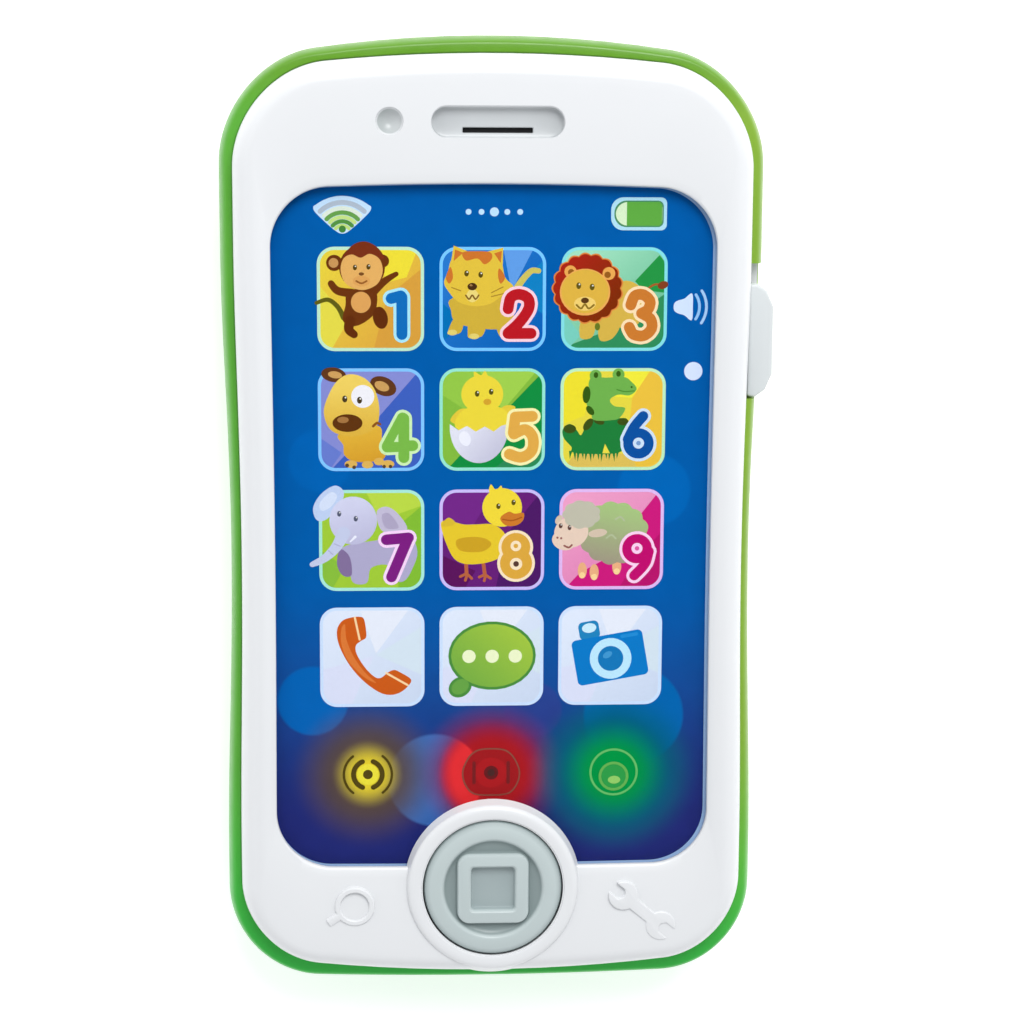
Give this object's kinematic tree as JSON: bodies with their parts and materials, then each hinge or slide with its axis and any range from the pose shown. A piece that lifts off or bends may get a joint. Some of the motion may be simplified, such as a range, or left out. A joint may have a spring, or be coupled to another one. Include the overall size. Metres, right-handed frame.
{
  "type": "toy cell phone",
  "caption": "Toy mobile phone with a touch screen, a round home button, a side slide switch, a loudspeaker and a battery door in its back.",
  "frame": {"origin": "on the rest face, on the centre line, halfway along the body; the switch knob puts the bounding box's centre 0.85 mm to the right of it", "axes": "+X to the phone's right, +Y towards its top end, +Z out of its screen; it lies on its back"},
  "size_m": [0.0873, 0.1528, 0.0262],
  "materials": {
    "rear_plastic": "green moulded ABS, glossy",
    "bezel_plastic": "white moulded ABS, glossy",
    "window_clear": "clear acrylic",
    "film_print": "printed polyester film",
    "board_green": "glass-epoxy board with solder mask",
    "board_fasteners": "zinc-plated screws",
    "shroud_white": "white light baffle",
    "led_amber": "tinted epoxy lens",
    "led_ruby": "tinted epoxy lens",
    "led_emerald": "tinted epoxy lens",
    "potting_black": "epoxy potting",
    "sleeve_blue": "shrink sleeve",
    "can_metal": "nickel-plated can",
    "chip_grey": "chip resistors",
    "connector_ivory": "moulded nylon",
    "flex_amber": "polyimide flex",
    "button_grey": "grey moulded ABS, satin",
    "silicone": "translucent silicone",
    "knob_plastic": "off-white moulded ABS",
    "switch_metal": "stamped steel",
    "actuator_black": "black nylon",
    "frame_steel": "stamped steel basket",
    "magnet_dark": "ferrite",
    "cone_black": "paper cone",
    "foam_grey": "foam ring",
    "clamp_metal": "stamped steel",
    "wire_red": "PVC insulation",
    "cloth_black": "fine mesh",
    "cell_wrap": "wrapped steel can",
    "contact_nickel": "nickel-plated spring steel",
    "brass": "brass",
    "screw_steel": "zinc-plated screws"
  },
  "bodies": {
    "casing": {"rear_shell": "rear_plastic", "front_bezel": "bezel_plastic", "screen_window": "window_clear", "screen_film": "film_print", "touch_board": "board_green", "touch_board_screws": "board_fasteners", "main_board": "board_green", "main_board_screws": "board_fasteners", "led_shroud": "shroud_white", "led_yellow": "led_amber", "led_red": "led_ruby", "led_green": "led_emerald", "controller_blob": "potting_black", "capacitor": "sleeve_blue", "crystal": "can_metal", "resistors": "chip_grey", "flex_connectors": "connector_ivory", "flex_cable": "flex_amber", "home_button_dome": "silicone", "slide_switch_case": "switch_metal", "speaker_frame": "frame_steel", "speaker_magnet": "magnet_dark", "speaker_cone": "cone_black", "speaker_gasket": "foam_grey", "speaker_clamp": "clamp_metal", "speaker_clamp_screws": "board_fasteners", "speaker_wires": "wire_red", "earpiece_cloth": "cloth_black", "battery_1": "cell_wrap", "battery_2": "cell_wrap", "battery_3": "cell_wrap", "battery_contacts": "contact_nickel", "battery_springs": "contact_nickel", "battery_wires": "wire_red", "door_screw_insert": "brass", "housing_screws": "screw_steel"},
    "home_button": {"home_button": "button_grey"},
    "side_switch": {"switch_knob": "knob_plastic", "slide_switch_actuator": "actuator_black"},
    "battery_door": {"battery_door": "rear_plastic"},
    "door_screw": {"door_screw": "screw_steel"}
  },
  "joints": [
    {"name": "home_button_press", "type": "slide", "parent": "casing", "child": "home_button", "axis": [0, 0, -1], "range_m": [0, 0.0012], "stiffness_N_per_m": 1500, "deforming": ["home_button_dome"]},
    {"name": "side_switch_slide", "type": "slide", "parent": "casing", "child": "side_switch", "axis": [0, 1, 0], "range_m": [0, 0.003]},
    {"name": "battery_door_lift", "type": "slide", "parent": "casing", "child": "battery_door", "axis": [0, 0, -1], "range_m": [0, 0.012]},
    {"name": "door_screw_turn", "type": "hinge", "parent": "battery_door", "child": "door_screw", "pos_m": [0, 0.0275, 0.0034], "axis": [0, 0, 1], "continuous": true}
  ]
}
